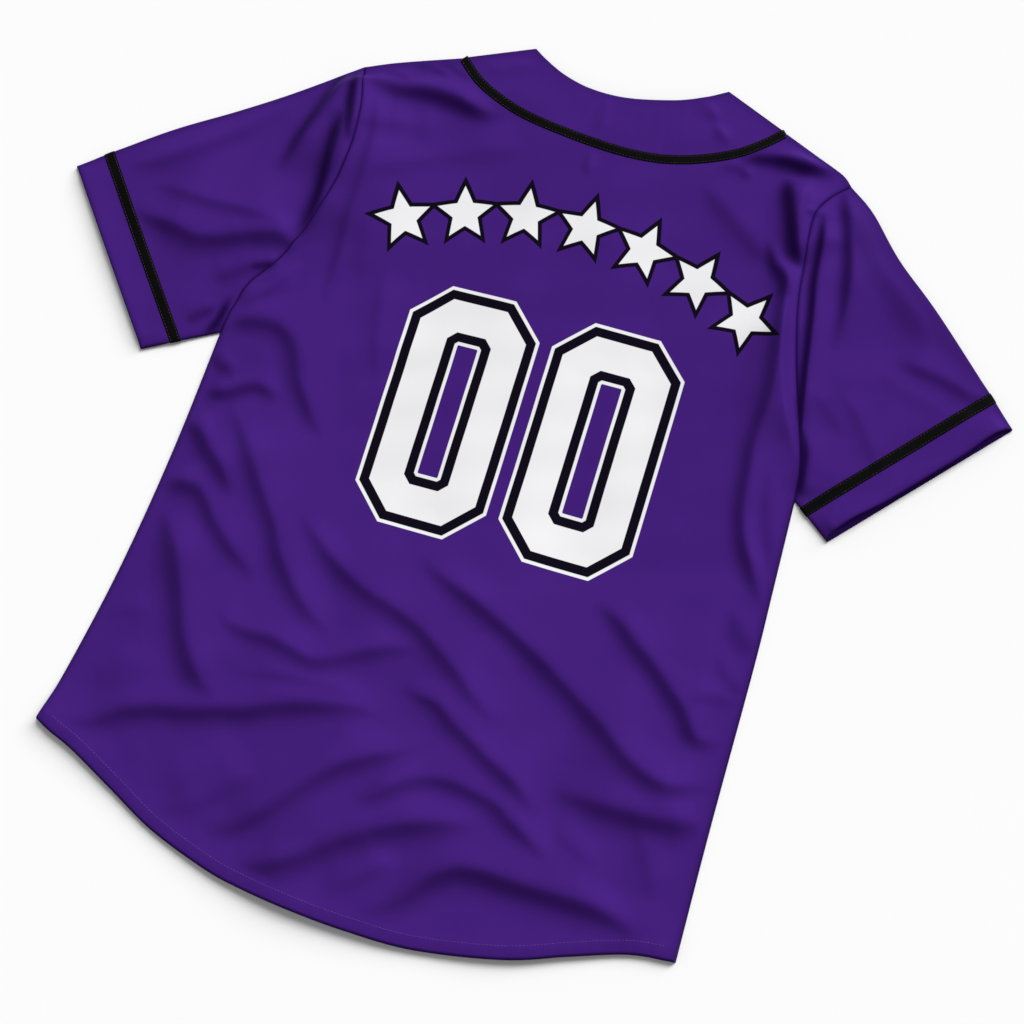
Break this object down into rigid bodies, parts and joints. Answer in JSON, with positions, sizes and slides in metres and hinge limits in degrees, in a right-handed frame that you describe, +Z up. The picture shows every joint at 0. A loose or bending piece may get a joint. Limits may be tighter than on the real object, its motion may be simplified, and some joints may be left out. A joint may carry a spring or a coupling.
{
  "type": "baseball jersey laid flat",
  "caption": "Short-sleeved baseball jersey lying flat with its back up, with a tape-edged neck band, taped sleeves and a shirt-tail hem.",
  "frame": {"origin": "middle of the footprint, on the surface that the jersey lies on", "axes": "+Z up, +Y towards the collar, +X to the right of someone who looks down at the back"},
  "size_m": [0.852, 0.7878, 0.0114],
  "materials": {
    "purple_knit": "satin polyester knit",
    "black_tape": "matt woven tape",
    "dark_button": "glossy"
  },
  "bodies": {
    "root": {"back_panel": "purple_knit", "neck_band": "purple_knit", "front_left": "purple_knit", "front_right": "purple_knit", "sleeve_left": "purple_knit", "sleeve_right": "purple_knit", "neck_tape": "black_tape", "sleeve_tape_left": "black_tape", "sleeve_tape_right": "black_tape", "button_1": "dark_button", "button_2": "dark_button", "button_3": "dark_button", "button_4": "dark_button", "button_5": "dark_button", "button_6": "dark_button", "button_7": "dark_button"}
  },
  "joints": []
}
